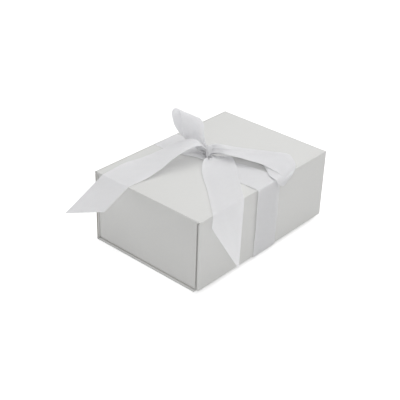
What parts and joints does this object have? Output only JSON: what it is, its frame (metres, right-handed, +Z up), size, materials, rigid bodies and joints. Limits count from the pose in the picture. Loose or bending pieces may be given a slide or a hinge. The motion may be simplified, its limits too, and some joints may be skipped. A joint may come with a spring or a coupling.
{
  "type": "favor box",
  "caption": "White book-style gift box with a hinged lid, magnetic front flap, lined tray and a satin ribbon tied in a bow on the lid.",
  "frame": {"origin": "centre of the box's underside, where it stands on a table", "axes": "+Z up, -Y towards the flap that closes the front, +Y towards the spine, +X along the box"},
  "size_m": [0.2658, 0.197, 0.1465],
  "materials": {
    "cover_paper": "matte",
    "lining_paper": "matte",
    "grey_board": "matte",
    "satin_ribbon": "satin",
    "magnet_plating": "polished",
    "plate_steel": "satin"
  },
  "bodies": {
    "base": {"base_board": "grey_board", "base_cover": "cover_paper", "spine_board": "grey_board", "spine_cover": "cover_paper", "lower_crease": "cover_paper", "rear_crease": "cover_paper", "tray_floor": "grey_board", "tray_front_wall": "grey_board", "tray_rear_wall": "grey_board", "tray_left_wall": "grey_board", "tray_right_wall": "grey_board", "tray_cover": "cover_paper", "tray_lining": "lining_paper", "catch_plates": "plate_steel"},
    "lid": {"lid_board": "grey_board", "lid_cover": "cover_paper", "lid_lining": "lining_paper", "front_crease": "cover_paper", "band_over_lid": "satin_ribbon", "band_under_lid": "satin_ribbon", "knot": "satin_ribbon", "upright_loop": "satin_ribbon", "left_tail": "satin_ribbon", "front_tail": "satin_ribbon"},
    "flap": {"flap_board": "grey_board", "flap_cover": "cover_paper", "flap_lining": "lining_paper", "flap_magnets": "magnet_plating", "band_down_flap": "satin_ribbon", "band_behind_flap": "satin_ribbon"},
    "front_loop": {"front_loop": "satin_ribbon"},
    "front_tail_end": {"front_tail_end": "satin_ribbon"}
  },
  "joints": [
    {"name": "lid_hinge", "type": "hinge", "parent": "base", "child": "lid", "pos_m": [0, 0.0775, 0.089], "axis": [-1, 0, 0], "range_deg": [0, 180]},
    {"name": "flap_hinge", "type": "hinge", "parent": "lid", "child": "flap", "pos_m": [0, -0.0775, 0.089], "axis": [-1, 0, 0], "range_deg": [0, 90]},
    {"name": "front_loop_lift", "type": "hinge", "parent": "lid", "child": "front_loop", "pos_m": [0.0016, 0.0044, 0.105], "axis": [-0.891, -0.454, 0], "range_deg": [0, 17]},
    {"name": "front_tail_lift", "type": "hinge", "parent": "lid", "child": "front_tail_end", "pos_m": [0, -0.0775, 0.0893], "axis": [-1, 0, 0], "range_deg": [0, 65]}
  ],
  "couplings": [
    {"joint": "front_loop_lift", "follows": "flap_hinge", "ratio": 0.18},
    {"joint": "front_tail_lift", "follows": "flap_hinge", "ratio": 0.7}
  ]
}
